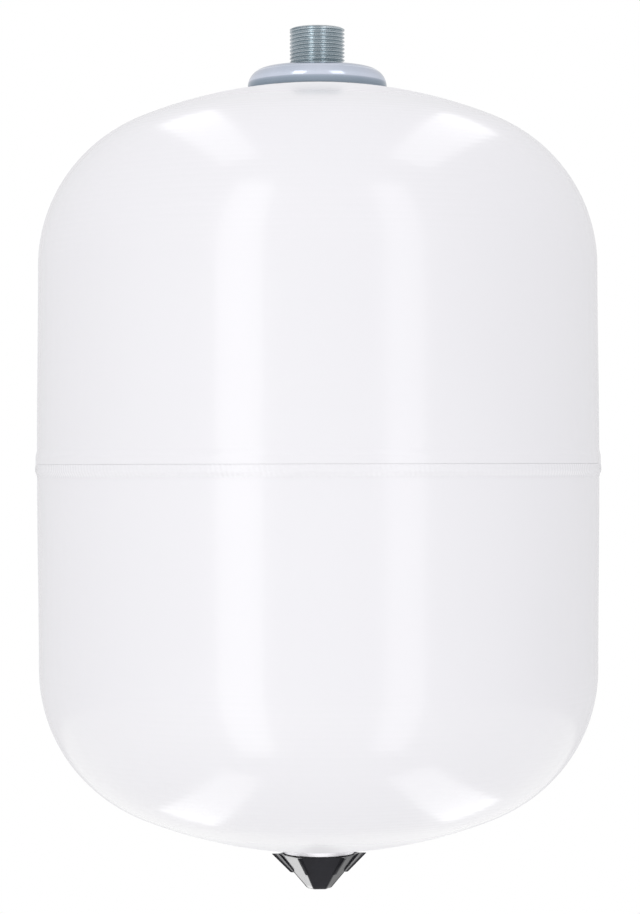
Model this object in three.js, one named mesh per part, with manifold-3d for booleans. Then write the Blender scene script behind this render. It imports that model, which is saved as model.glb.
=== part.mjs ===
// Bladder expansion vessel with an 18 litre shell, hung by the G 3/4 nipple on its top.
//
// Two deep-drawn steel half shells are lapped and welded at mid height. A ring welded into the upper
// shell's mouth carries the lip of a rubber bladder, and a pressed, zinc-plated flange is crimped over
// both. Water enters the bladder through the nipple in the flange. The gas around the bladder is
// charged through a tyre-type valve in the lower shell, under a screwed dust cap and a ribbed cover.
//
// Units are millimetres. The sizes below are measured from the seam plane, +Z up, and the whole
// assembly is then lowered so that the origin is the centre of the nipple's end face.

import * as THREE from "three";
import { mergeVertices } from "three/addons/utils/BufferGeometryUtils.js";
import Module from "manifold-3d";

const wasm = await Module();
wasm.setup();

// ---- driving dimensions -------------------------------------------------------------------------

const GAP = 0.3; // clearance between faces that touch on the real object

// half shells, both with the same dished end
const WALL = 1.2;
const SEAM_RADIUS = 135; // outside radius next to the seam
const DRAFT = 0.7; // how much narrower the shell is where its dished end begins
const KNUCKLE_Z = 96.5; // height where the dished end begins
const KNUCKLE_RADIUS = 76;
const CROWN_RADIUS = 228;

// lap joint: the upper shell's rim is belled over the lower shell's tongue
const BELL_STEP = 0.7;
const BELL_RIM_Z = 1.6;
const BELL_TOP_Z = 5.5;
const BELL_RUN = 3.5; // height over which the bell narrows back to the shell
const TONGUE_Z = 5.2;
const TONGUE_ROOT_Z = -1;
const TONGUE_RUN = 4;
const BEAD_FOOT_Z = -4.5;
const BEAD_BULGE = 1;

// mouth, flange and nipple
const FLANGE_RADIUS = 33.5;
const FLANGE_APEX_Z = 194.5; // where its crowned top would meet the axis
const FLANGE_CROWN_RADIUS = 150;
const FLANGE_SHEET = 2.5;
const FLANGE_EDGE_RADIUS = 9;
const CRIMP_RADIUS = 26.8; // inner edge of the skirt that is rolled in under the neck ring's lip
const CRIMP_Z = 182.9;
const SKIRT_FOOT_Z = 182.2; // the skirt's outer edge hangs lower than its crimp
const CRIMP_THICKNESS = 2;
const NECK_RADIUS = 24;
const NECK_BORE = 19;
const NECK_FOOT_Z = 176;
const NECK_LIP = 1.8;
const LIP_RADIUS = 29.4;

const THREAD_RADIUS = 26.441 / 2; // G 3/4, 14 threads to the inch
const THREAD_PITCH = 25.4 / 14;
const THREAD_DEPTH = 1.162;
const NIPPLE_BORE = 9.5;
const NIPPLE_END_Z = 211.7;
const NIPPLE_SHOULDER = 15;
const NIPPLE_SHOULDER_THICKNESS = 2.4;
const NIPPLE_CHAMFER = 1.2;

// bladder
const BLADDER_WALL = 1.9;
const BLADDER_NECK = 18.7;
const BLADDER_LIP_RADIUS = 28.1;
const BLADDER_NECK_Z = 172; // the neck opens into the bag below this height
const BLADDER_RADIUS = 95;
const BLADDER_SHOULDER_Z = 105;
const BLADDER_FOOT_Z = -95;

// valve boss and valve stem
const BOSS_RADIUS = 17;
const BOSS_STEP_Z = -185.7; // the boss is narrower below this height, where the cover grips it
const BOSS_TIP_RADIUS = 10;
const BOSS_END_Z = -190;
const BOSS_FLANGE = 20.5;
const BOSS_FLANGE_Z = -181.5; // underside of the flange that lies inside the shell
const BOSS_FLANGE_TOP_Z = -178.5;
const COUNTERBORE_RADIUS = 7;
const COUNTERBORE_Z = -184.3;
const STEM_SHANK = 4.3;
const STEM_TOP_Z = -176.5;
const STEM_COLLAR = 6.5;
const STEM_COLLAR_Z = -185.7;
const STEM_COLLAR_FOOT_Z = -187.5;
const STEM_THREAD = 3.85; // 7.7 mm valve thread, 32 to the inch
const STEM_END_Z = -192.7;
const STEM_BORE = 2.3;
const SWIVEL_BORE = 2.9;
const SWIVEL_BORE_Z = -187;

// valve core
const SWIVEL_RADIUS = 2.6;
const BARREL_RADIUS = 2;
const CORE_BORE = 1.25;
const PIN_RADIUS = 0.45;
const PIN_HOLE = PIN_RADIUS + GAP;
const PIN_END_Z = -192.5;
const SPRING_RADIUS = 0.9;
const SPRING_WIRE = 0.1;
const SPRING_TURNS = 9;

// dust cap and cover
const DUST_CAP_RADIUS = 4.8;
const DUST_CAP_MOUTH_Z = -187.8;
const DUST_CAP_END_Z = -194.9;
const DUST_CAP_FLOOR_Z = -193.9;
const COVER_TOP_Z = -186;
const COVER_END_Z = -202.9;
const COVER_TOP_RADIUS = 20; // to a corner of the hexagon
const COVER_END_RADIUS = 5.6;
const COVER_WALL = 1.2;
const COVER_SLEEVE_TOP_Z = -187.1;
const COVER_SLEEVE_WALL = 1.5;
const COVER_TURN = THREE.MathUtils.degToRad(34);
const RIB_COUNT = 6;
const RIB_THICKNESS = 1;
const RIB_TOP_RADIUS = 22.9;
const RIB_FOOT_RADIUS = 13.8;
const RIB_FOOT_Z = -195.1;

// facets round a full turn
const SHELL_SIDES = 40;
const NECK_SIDES = 28;
const BLADDER_SIDES = 24;
const VALVE_SIDES = 20;
const CORE_SIDES = 12;

// ---- materials ----------------------------------------------------------------------------------

function finish(color, roughness, metalness) {
  return new THREE.MeshStandardMaterial({ color, roughness, metalness });
}

const WHITE_PAINT = finish(0xeeeef2, 0.25, 0);
const ZINC = finish(0xa9b4c2, 0.3, 0.9);
const PLAIN_STEEL = finish(0x8b8d90, 0.45, 0.9);
const BUTYL = finish(0x1c1c1e, 0.7, 0);
const SEAL_RUBBER = finish(0x26221f, 0.6, 0);
const BRASS = finish(0xc9a75a, 0.3, 1);
const SPRING_STEEL = finish(0xb8bcc2, 0.3, 1);
const CUP_RUBBER = finish(0x7a1d1a, 0.6, 0);
const GLOSSY_BLACK = finish(0x222226, 0.2, 0);
const MATTE_BLACK = finish(0x2b2b2d, 0.5, 0);

// ---- shared shape helpers -----------------------------------------------------------------------

const at = (radius, z) => new THREE.Vector2(radius, z);

// Points of an arc about a centre, both ends included. Angles are in radians from the outward direction.
function arc(centreRadius, centreZ, radius, from, to, steps) {
  return Array.from({ length: steps + 1 }, (_, i) => {
    const angle = THREE.MathUtils.lerp(from, to, i / steps);
    return at(centreRadius + radius * Math.cos(angle), centreZ + radius * Math.sin(angle));
  });
}

// A solid of revolution about Z from the corners of its half section, given in either direction.
function turned(corners, sides) {
  const closed = [...corners, corners[0].clone()];
  const twiceArea = closed
    .slice(1)
    .reduce((sum, p, i) => sum + closed[i].x * p.y - p.x * closed[i].y, 0);
  const outline = twiceArea > 0 ? closed : closed.reverse();
  return new THREE.LatheGeometry(outline, sides).rotateX(Math.PI / 2);
}

// A plain ring or disc.
function ring(inner, outer, low, high, sides) {
  return turned([at(inner, low), at(outer, low), at(outer, high), at(inner, high)], sides);
}

function toSolid(geometry) {
  const plain = geometry.index ? geometry.toNonIndexed() : geometry.clone();
  plain.deleteAttribute("normal");
  plain.deleteAttribute("uv");
  const merged = mergeVertices(plain, 1e-4);
  return new wasm.Manifold(
    new wasm.Mesh({
      numProp: 3,
      vertProperties: new Float32Array(merged.attributes.position.array),
      triVerts: new Uint32Array(merged.index.array),
    }),
  );
}

function toGeometry(solid) {
  const mesh = solid.getMesh();
  return new THREE.BufferGeometry()
    .setAttribute("position", new THREE.BufferAttribute(mesh.vertProperties, 3))
    .setIndex(new THREE.BufferAttribute(mesh.triVerts, 1));
}

// ---- half shells --------------------------------------------------------------------------------

const TANGENT_RADIUS = SEAM_RADIUS - DRAFT;
const KNUCKLE_CENTRE = TANGENT_RADIUS - KNUCKLE_RADIUS;
const CROWN_CENTRE_Z = KNUCKLE_Z - Math.sqrt((CROWN_RADIUS - KNUCKLE_RADIUS) ** 2 - KNUCKLE_CENTRE ** 2);
const KNUCKLE_END = Math.atan2(KNUCKLE_Z - CROWN_CENTRE_Z, KNUCKLE_CENTRE);

// The dished end from the straight wall up to a hole of the given radius. inset moves it inwards.
function dishedEnd(inset, holeRadius) {
  const crown = CROWN_RADIUS - inset;
  const knuckle = arc(KNUCKLE_CENTRE, KNUCKLE_Z, KNUCKLE_RADIUS - inset, 0, KNUCKLE_END, 6);
  const crownArc = arc(0, CROWN_CENTRE_Z, crown, KNUCKLE_END, Math.acos(holeRadius / crown), 3);
  return [...knuckle, ...crownArc.slice(1)];
}

function upperShell() {
  const wall = (inset) => [
    at(SEAM_RADIUS + BELL_STEP - inset, BELL_RIM_Z),
    at(SEAM_RADIUS + BELL_STEP - inset, BELL_TOP_Z),
    at(SEAM_RADIUS - inset, BELL_TOP_Z + BELL_RUN),
    ...dishedEnd(inset, NECK_RADIUS + GAP),
  ];
  return turned([...wall(0), ...wall(WALL).reverse()], SHELL_SIDES);
}

const TONGUE_RADIUS = SEAM_RADIUS + BELL_STEP - WALL - GAP;

function lowerShell() {
  const wall = (inset) => [
    at(TONGUE_RADIUS - inset, -TONGUE_Z),
    at(TONGUE_RADIUS - inset, -TONGUE_ROOT_Z),
    at(SEAM_RADIUS - inset, -TONGUE_ROOT_Z + TONGUE_RUN),
    ...dishedEnd(inset, BOSS_RADIUS + GAP),
  ];
  const mirrored = [...wall(0), ...wall(WALL).reverse()].map((p) => at(p.x, -p.y));
  return turned(mirrored, SHELL_SIDES);
}

// The weld bead fills the step under the bell's rim and fades out on the lower shell.
function girthWeld() {
  const face = SEAM_RADIUS + GAP;
  const top = BELL_RIM_Z - GAP;
  const outline = [
    at(face, BEAD_FOOT_Z),
    at(SEAM_RADIUS + BEAD_BULGE * 0.8, (BEAD_FOOT_Z + top) * 0.75),
    at(SEAM_RADIUS + BEAD_BULGE, (BEAD_FOOT_Z + top) / 2),
    at(SEAM_RADIUS + BEAD_BULGE, top * 0.4),
    at(SEAM_RADIUS + BELL_STEP, top),
    at(TONGUE_RADIUS + GAP, top),
    at(TONGUE_RADIUS + GAP, TONGUE_ROOT_Z + 1),
    at(face, TONGUE_ROOT_Z - 1),
  ];
  return turned(outline, SHELL_SIDES);
}

// ---- mouth, flange and nipple -------------------------------------------------------------------

const FLANGE_CROWN_Z = FLANGE_APEX_Z - FLANGE_CROWN_RADIUS;
const FLANGE_EDGE_CENTRE = FLANGE_RADIUS - FLANGE_EDGE_RADIUS;
const FLANGE_EDGE_Z =
  FLANGE_CROWN_Z + Math.sqrt((FLANGE_CROWN_RADIUS - FLANGE_EDGE_RADIUS) ** 2 - FLANGE_EDGE_CENTRE ** 2);
const LIP_FOOT_Z = CRIMP_Z + CRIMP_THICKNESS + GAP;
const LIP_TOP_Z = LIP_FOOT_Z + NECK_LIP;

// Height of the flange's crowned top at a radius. inset 0 is the outer face.
const flangeTop = (radius, inset) =>
  FLANGE_CROWN_Z + Math.sqrt((FLANGE_CROWN_RADIUS - inset) ** 2 - radius ** 2);

function neckRing() {
  const outline = [
    at(NECK_BORE, NECK_FOOT_Z),
    at(NECK_RADIUS, NECK_FOOT_Z),
    at(NECK_RADIUS, LIP_FOOT_Z),
    at(LIP_RADIUS, LIP_FOOT_Z),
    at(LIP_RADIUS, LIP_TOP_Z),
    at(NECK_BORE, LIP_TOP_Z),
  ];
  return turned(outline, NECK_SIDES);
}

// Fillet in the corner between the crown and the neck ring.
function neckWeld() {
  const foot = CROWN_CENTRE_Z + Math.sqrt(CROWN_RADIUS ** 2 - NECK_RADIUS ** 2) + GAP;
  const inner = NECK_RADIUS + GAP;
  const leg = 1.6;
  return turned([at(inner, foot), at(inner + leg, foot), at(inner, foot + leg)], NECK_SIDES);
}

// The pressed flange: a slightly crowned, round-edged plate with a skirt crimped in under the ring's lip.
function flangeCap() {
  const hole = THREAD_RADIUS + GAP;
  const tangent = Math.atan2(FLANGE_EDGE_Z - FLANGE_CROWN_Z, FLANGE_EDGE_CENTRE);
  const edge = (inset, from, to, steps) =>
    arc(FLANGE_EDGE_CENTRE, FLANGE_EDGE_Z, FLANGE_EDGE_RADIUS - inset, from, to, steps);
  const outline = [
    at(CRIMP_RADIUS, CRIMP_Z),
    at(FLANGE_RADIUS - 1, SKIRT_FOOT_Z),
    at(FLANGE_RADIUS, SKIRT_FOOT_Z + 0.4),
    ...edge(0, 0, tangent, 5),
    at(20, flangeTop(20, 0)),
    at(hole, flangeTop(hole, 0)),
    at(hole, flangeTop(hole, FLANGE_SHEET)),
    at(20, flangeTop(20, FLANGE_SHEET)),
    ...edge(FLANGE_SHEET, tangent, 0.3, 3),
    at(FLANGE_RADIUS - FLANGE_SHEET, CRIMP_Z + CRIMP_THICKNESS),
    at(CRIMP_RADIUS, CRIMP_Z + CRIMP_THICKNESS),
  ];
  return turned(outline, NECK_SIDES);
}

// The thread is drawn as rings at the pitch of G 3/4.
function connectionNipple() {
  const shoulderTop = flangeTop(NIPPLE_SHOULDER, FLANGE_SHEET) - GAP;
  const threadFoot = flangeTop(THREAD_RADIUS, 0) + 0.5;
  const threadTop = NIPPLE_END_Z - NIPPLE_CHAMFER;
  const turns = Math.floor((threadTop - threadFoot) / THREAD_PITCH);
  const root = THREAD_RADIUS - THREAD_DEPTH;
  const thread = [];
  for (let i = 0; i < turns; i += 1) {
    const z = threadFoot + i * THREAD_PITCH;
    thread.push(at(THREAD_RADIUS, z), at(root, z + THREAD_PITCH / 2));
  }
  const outline = [
    at(NIPPLE_BORE, shoulderTop - NIPPLE_SHOULDER_THICKNESS),
    at(NIPPLE_SHOULDER, shoulderTop - NIPPLE_SHOULDER_THICKNESS),
    at(NIPPLE_SHOULDER, shoulderTop),
    at(THREAD_RADIUS, shoulderTop),
    ...thread,
    at(THREAD_RADIUS, threadTop),
    at(root, NIPPLE_END_Z),
    at(NIPPLE_BORE, NIPPLE_END_Z),
  ];
  return turned(outline, NECK_SIDES);
}

function nippleWeld() {
  const inner = NIPPLE_SHOULDER + GAP;
  const leg = 1;
  const top = flangeTop(inner + leg, FLANGE_SHEET) - GAP;
  return turned([at(inner, top - leg), at(inner + leg, top), at(inner, top)], NECK_SIDES);
}

// ---- bladder ------------------------------------------------------------------------------------

// A pear-shaped bag with a flat lip, which is clamped between the neck ring and the flange.
function bladder() {
  const lipFoot = LIP_TOP_Z + GAP;
  const lipInside = BLADDER_NECK - BLADDER_WALL;
  const lipOutside = BLADDER_LIP_RADIUS - 1.5;
  const shoulder = BLADDER_RADIUS - BLADDER_NECK;
  const steps = 6;
  const bag = (inset) => {
    const curve = [];
    for (let i = 0; i <= steps; i += 1) {
      const angle = (i / steps) * Math.PI;
      const share = (1 - Math.cos(angle)) / 2;
      const z = THREE.MathUtils.lerp(BLADDER_NECK_Z, BLADDER_SHOULDER_Z, i / steps);
      curve.push(at(BLADDER_NECK + shoulder * share - inset, z - inset * Math.sin(angle)));
    }
    const foot = arc(0, BLADDER_FOOT_Z + BLADDER_RADIUS, BLADDER_RADIUS - inset, 0, -Math.PI / 2, steps);
    foot[foot.length - 1].x = 0;
    return [...curve, ...foot];
  };
  const outline = [
    at(BLADDER_LIP_RADIUS, lipFoot),
    at(BLADDER_NECK, lipFoot),
    ...bag(0),
    ...bag(BLADDER_WALL).reverse(),
    at(lipInside, flangeTop(lipInside, FLANGE_SHEET) - 2 * GAP),
    at(lipOutside, flangeTop(lipOutside, FLANGE_SHEET) - 2 * GAP),
    at(BLADDER_LIP_RADIUS, lipFoot + 0.5),
  ];
  return turned(outline, BLADDER_SIDES);
}

// ---- valve --------------------------------------------------------------------------------------

function valveBoss() {
  const bore = STEM_SHANK + GAP;
  const outline = [
    at(bore, BOSS_FLANGE_TOP_Z),
    at(BOSS_FLANGE, BOSS_FLANGE_TOP_Z),
    at(BOSS_FLANGE, BOSS_FLANGE_Z),
    at(BOSS_RADIUS, BOSS_FLANGE_Z),
    at(BOSS_RADIUS, BOSS_STEP_Z),
    at(BOSS_TIP_RADIUS, BOSS_STEP_Z),
    at(BOSS_TIP_RADIUS, BOSS_END_Z + 0.5),
    at(BOSS_TIP_RADIUS - 0.5, BOSS_END_Z),
    at(COUNTERBORE_RADIUS, BOSS_END_Z),
    at(COUNTERBORE_RADIUS, COUNTERBORE_Z),
    at(bore, COUNTERBORE_Z),
  ];
  return turned(outline, VALVE_SIDES);
}

// Fillet inside the lower shell, round the boss's flange.
function bossWeld() {
  const inner = BOSS_FLANGE + GAP;
  const foot = BOSS_FLANGE_Z + 0.1;
  const leg = 1.6;
  return turned([at(inner, foot), at(inner + leg, foot), at(inner, foot + leg)], VALVE_SIDES);
}

function stemGasket() {
  const top = COUNTERBORE_Z - GAP;
  return ring(STEM_SHANK + GAP, COUNTERBORE_RADIUS - GAP, STEM_COLLAR_Z + GAP, top, VALVE_SIDES);
}

function valveStem() {
  const outline = [
    at(STEM_BORE, STEM_TOP_Z),
    at(STEM_SHANK, STEM_TOP_Z),
    at(STEM_SHANK, STEM_COLLAR_Z),
    at(STEM_COLLAR, STEM_COLLAR_Z),
    at(STEM_COLLAR, STEM_COLLAR_FOOT_Z),
    at(STEM_THREAD, STEM_COLLAR_FOOT_Z),
    at(STEM_THREAD, STEM_END_Z + 0.5),
    at(STEM_THREAD - 0.5, STEM_END_Z),
    at(SWIVEL_BORE, STEM_END_Z),
    at(SWIVEL_BORE, SWIVEL_BORE_Z),
    at(STEM_BORE, SWIVEL_BORE_Z + 1.2),
  ];
  return turned(outline, VALVE_SIDES);
}

// ---- valve core, from its outer end inwards -----------------------------------------------------

const SWIVEL_LOW_Z = STEM_END_Z + 0.6;
const SWIVEL_HIGH_Z = -189.5;
const BARREL_LOW_Z = SWIVEL_HIGH_Z + GAP;
const BARREL_HIGH_Z = -181.5;
const BARREL_SHOULDER = 1.4; // thickness of the barrel's inner end, which the spring bears on
const CUP_SEAL_HIGH_Z = BARREL_HIGH_Z + GAP + 0.6;
const CUP_HIGH_Z = CUP_SEAL_HIGH_Z + GAP + 1.5;
const SPRING_LOW_Z = -190.8;
const SPRING_HIGH_Z = BARREL_HIGH_Z - BARREL_SHOULDER - GAP;

const coreSwivel = () => ring(CORE_BORE, SWIVEL_RADIUS, SWIVEL_LOW_Z, SWIVEL_HIGH_Z, CORE_SIDES);

function coreBarrel() {
  const shoulderZ = BARREL_HIGH_Z - BARREL_SHOULDER;
  const outline = [
    at(CORE_BORE, BARREL_LOW_Z),
    at(BARREL_RADIUS, BARREL_LOW_Z),
    at(BARREL_RADIUS, BARREL_HIGH_Z),
    at(PIN_HOLE, BARREL_HIGH_Z),
    at(PIN_HOLE, shoulderZ),
    at(CORE_BORE, shoulderZ),
  ];
  return turned(outline, CORE_SIDES);
}

const coreBarrelSeal = () => ring(BARREL_RADIUS + GAP, SWIVEL_RADIUS, -188.7, -187.4, CORE_SIDES);

// The pin has a seat for the spring near its outer end and a head that holds the cup.
function corePin() {
  const seat = CORE_BORE - GAP;
  const seatTop = SPRING_LOW_Z - GAP;
  const headFoot = CUP_HIGH_Z + GAP;
  const outline = [
    at(0, PIN_END_Z),
    at(PIN_RADIUS, PIN_END_Z),
    at(PIN_RADIUS, seatTop - 0.5),
    at(seat, seatTop - 0.5),
    at(seat, seatTop),
    at(PIN_RADIUS, seatTop),
    at(PIN_RADIUS, headFoot),
    at(seat, headFoot),
    at(seat, headFoot + 0.6),
    at(0, headFoot + 0.6),
  ];
  return turned(outline, CORE_SIDES);
}

class Helix extends THREE.Curve {
  getPoint(t, target = new THREE.Vector3()) {
    const angle = t * SPRING_TURNS * 2 * Math.PI;
    const low = SPRING_LOW_Z + SPRING_WIRE;
    const high = SPRING_HIGH_Z - SPRING_WIRE;
    const z = THREE.MathUtils.lerp(low, high, t);
    return target.set(SPRING_RADIUS * Math.cos(angle), SPRING_RADIUS * Math.sin(angle), z);
  }
}

function coreSpring() {
  const wire = new THREE.Shape(
    Array.from({ length: 4 }, (_, i) => {
      const angle = (i / 4) * 2 * Math.PI;
      return at(SPRING_WIRE * Math.cos(angle), SPRING_WIRE * Math.sin(angle));
    }),
  );
  const stepsPerTurn = 8;
  return new THREE.ExtrudeGeometry(wire, {
    extrudePath: new Helix(),
    steps: SPRING_TURNS * stepsPerTurn,
    bevelEnabled: false,
  });
}

const coreCupSeal = () => ring(PIN_HOLE, 1.5, BARREL_HIGH_Z + GAP, CUP_SEAL_HIGH_Z, CORE_SIDES);
const coreCup = () => ring(PIN_HOLE, 1.8, CUP_SEAL_HIGH_Z + GAP, CUP_HIGH_Z, CORE_SIDES);

// ---- dust cap and cover -------------------------------------------------------------------------

function dustCap() {
  const bore = STEM_THREAD + GAP;
  const outline = [
    at(0, DUST_CAP_END_Z),
    at(DUST_CAP_RADIUS - 0.8, DUST_CAP_END_Z),
    at(DUST_CAP_RADIUS, DUST_CAP_END_Z + 0.9),
    at(DUST_CAP_RADIUS, DUST_CAP_MOUTH_Z),
    at(bore, DUST_CAP_MOUTH_Z),
    at(bore, DUST_CAP_FLOOR_Z),
    at(0, DUST_CAP_FLOOR_Z),
  ];
  return turned(outline, VALVE_SIDES);
}

function dustCapSeal() {
  const low = DUST_CAP_FLOOR_Z + GAP;
  const high = STEM_END_Z - GAP;
  const outline = [at(0, low), at(STEM_THREAD, low), at(STEM_THREAD, high), at(0, high)];
  return turned(outline, VALVE_SIDES);
}

// A hexagonal funnel with a rib on each corner and a sleeve inside that grips the boss.
function coverCap() {
  const slope = (COVER_TOP_RADIUS - COVER_END_RADIUS) / (COVER_TOP_Z - COVER_END_Z);
  const radiusAt = (z) => COVER_END_RADIUS + slope * (z - COVER_END_Z);
  const acrossFlats = Math.cos(Math.PI / 6); // half the width across flats, for a corner radius of 1
  const inset = COVER_WALL / Math.cos(Math.atan(slope * acrossFlats)) / acrossFlats;
  const floorZ = COVER_END_Z + COVER_WALL;
  const above = COVER_TOP_Z + 1; // the cutter stands clear of the rim
  const hexagon = (corners) => toSolid(turned(corners, 6));
  const outer = hexagon([
    at(0, COVER_END_Z),
    at(COVER_END_RADIUS - 0.6, COVER_END_Z),
    at(radiusAt(COVER_END_Z + 0.5), COVER_END_Z + 0.5),
    at(COVER_TOP_RADIUS, COVER_TOP_Z),
    at(0, COVER_TOP_Z),
  ]);
  const hollow = hexagon([
    at(0, floorZ),
    at(radiusAt(floorZ) - inset, floorZ),
    at(radiusAt(above) - inset, above),
    at(0, above),
  ]);
  const sleeveBore = BOSS_TIP_RADIUS + GAP;
  const sleeveRadius = sleeveBore + COVER_SLEEVE_WALL;
  const sleeveFoot = COVER_END_Z + (sleeveRadius / acrossFlats - COVER_END_RADIUS) / slope + 0.3;
  const sleeve = toSolid(ring(sleeveBore, sleeveRadius, sleeveFoot, COVER_SLEEVE_TOP_Z, VALVE_SIDES));
  let cap = outer.subtract(hollow).add(sleeve);
  const side = new THREE.Shape([
    at(radiusAt(COVER_TOP_Z) - 1, COVER_TOP_Z),
    at(radiusAt(RIB_FOOT_Z) - 1, RIB_FOOT_Z),
    at(RIB_FOOT_RADIUS, RIB_FOOT_Z),
    at(RIB_TOP_RADIUS, COVER_TOP_Z),
  ]);
  for (let i = 0; i < RIB_COUNT; i += 1) {
    const rib = new THREE.ExtrudeGeometry(side, { depth: RIB_THICKNESS, bevelEnabled: false })
      .translate(0, 0, -RIB_THICKNESS / 2)
      .rotateX(Math.PI / 2)
      .rotateZ(Math.PI / 2 + (i / RIB_COUNT) * 2 * Math.PI);
    cap = cap.add(toSolid(rib));
  }
  return toGeometry(cap);
}

// ---- assembly -----------------------------------------------------------------------------------

function piece(name, geometry, material) {
  const mesh = new THREE.Mesh(geometry, material);
  mesh.name = name;
  return mesh;
}

const assembly = new THREE.Group();
assembly.position.z = -NIPPLE_END_Z;

assembly.add(
  piece("upper_shell", upperShell(), WHITE_PAINT),
  piece("lower_shell", lowerShell(), WHITE_PAINT),
  piece("girth_weld", girthWeld(), WHITE_PAINT),
  piece("neck_ring", neckRing(), PLAIN_STEEL),
  piece("neck_weld", neckWeld(), PLAIN_STEEL),
  piece("flange_cap", flangeCap(), ZINC),
  piece("connection_nipple", connectionNipple(), ZINC),
  piece("nipple_weld", nippleWeld(), ZINC),
  piece("bladder", bladder(), BUTYL),
  piece("valve_boss", valveBoss(), WHITE_PAINT),
  piece("boss_weld", bossWeld(), PLAIN_STEEL),
  piece("stem_gasket", stemGasket(), SEAL_RUBBER),
  piece("valve_stem", valveStem(), BRASS),
  piece("core_swivel", coreSwivel(), BRASS),
  piece("core_barrel", coreBarrel(), BRASS),
  piece("core_barrel_seal", coreBarrelSeal(), SEAL_RUBBER),
  piece("core_spring", coreSpring(), SPRING_STEEL),
  piece("core_pin", corePin(), BRASS),
  piece("core_cup_seal", coreCupSeal(), CUP_RUBBER),
  piece("core_cup", coreCup(), BRASS),
  piece("dust_cap_seal", dustCapSeal(), SEAL_RUBBER),
  piece("dust_cap", dustCap(), MATTE_BLACK),
);

const cover = piece("cover_cap", coverCap(), GLOSSY_BLACK);
cover.rotation.z = COVER_TURN;
assembly.add(cover);

const vessel = new THREE.Group();
vessel.add(assembly);

export default vessel;
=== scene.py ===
# A white bladder expansion vessel, hung by its nipple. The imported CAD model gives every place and
# overall size. This script builds the finished surfaces, the materials, the lights and the camera.

import math

import bmesh
import bpy
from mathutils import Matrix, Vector, noise


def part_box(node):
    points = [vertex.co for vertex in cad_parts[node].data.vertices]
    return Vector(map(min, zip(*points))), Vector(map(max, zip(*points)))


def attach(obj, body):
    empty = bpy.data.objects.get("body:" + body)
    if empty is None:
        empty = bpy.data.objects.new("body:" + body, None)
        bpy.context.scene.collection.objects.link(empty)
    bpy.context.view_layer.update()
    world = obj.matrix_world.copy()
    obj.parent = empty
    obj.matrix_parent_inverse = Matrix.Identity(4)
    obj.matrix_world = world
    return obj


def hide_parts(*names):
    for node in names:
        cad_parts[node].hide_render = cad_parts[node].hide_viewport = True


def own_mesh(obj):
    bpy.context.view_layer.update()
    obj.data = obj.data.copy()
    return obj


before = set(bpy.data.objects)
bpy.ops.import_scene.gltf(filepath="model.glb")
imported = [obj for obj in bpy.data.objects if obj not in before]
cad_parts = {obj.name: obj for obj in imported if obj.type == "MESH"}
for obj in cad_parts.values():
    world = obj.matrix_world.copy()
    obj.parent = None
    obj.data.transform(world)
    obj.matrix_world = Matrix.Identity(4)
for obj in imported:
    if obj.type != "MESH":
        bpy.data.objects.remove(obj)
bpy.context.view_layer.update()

MM = 0.001
TAU = 2 * math.pi


# ---- the frame's sizes, in millimetres ----------------------------------------------------------


def lowest(node):
    """Height of a CAD node's lowest point."""
    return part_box(node)[0].z / MM


def highest(node):
    """Height of a CAD node's highest point."""
    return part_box(node)[1].z / MM


def radius_of(node):
    """Largest radius of a turned CAD node, which has a corner on the +X axis."""
    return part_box(node)[1].x / MM


# half shells
WALL = 1.2
RIM_Z = lowest("upper_shell")
RIM_HEIGHT = 1.6  # of the upper shell's rim above the seam plane
SEAM_Z = RIM_Z - RIM_HEIGHT
SEAM_RADIUS = radius_of("lower_shell")
BELL_RADIUS = radius_of("upper_shell")
DRAFT = 0.7
KNUCKLE_HEIGHT = 96.5  # of the dished end's start above the seam
KNUCKLE_RADIUS = 76
CROWN_RADIUS = 228
TANGENT_RADIUS = SEAM_RADIUS - DRAFT
KNUCKLE_CENTRE = TANGENT_RADIUS - KNUCKLE_RADIUS
CROWN_CENTRE = KNUCKLE_HEIGHT - math.sqrt((CROWN_RADIUS - KNUCKLE_RADIUS) ** 2 - KNUCKLE_CENTRE**2)
KNUCKLE_END = math.atan2(KNUCKLE_HEIGHT - CROWN_CENTRE, KNUCKLE_CENTRE)

# flange and nipple
FLANGE_RADIUS = radius_of("flange_cap")
FLANGE_TOP = highest("flange_cap")
FLANGE_FOOT = lowest("flange_cap")
FLANGE_SHEET = 2.5
SKIRT_GAP = 0.12  # between the flange's skirt and the dished end
FLANGE_CROWN_RADIUS = 150
NECK_RADIUS = 24
THREAD_RADIUS = 26.441 / 2
FLANGE_HOLE = THREAD_RADIUS + 0.3
FLANGE_CROWN_CENTRE = FLANGE_TOP - math.sqrt(FLANGE_CROWN_RADIUS**2 - FLANGE_HOLE**2)
THREAD_PITCH = 25.4 / 14
THREAD_DEPTH = 1.162
NIPPLE_BORE = 9.5
NIPPLE_SHOULDER = radius_of("connection_nipple")

# valve and covers
BOSS_RADIUS = 17
BOSS_FLANGE = 20.5
BOSS_TIP_RADIUS = 10  # where the cover's sleeve grips it
STEM_THREAD = 3.85
STEM_PITCH = 25.4 / 32
RIB_COUNT = 6
COVER_TURN = math.radians(34)

# facets round a full turn
FINE = 256
MEDIUM = 128
SMALL = 64


# ---- mesh helpers -------------------------------------------------------------------------------


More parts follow.
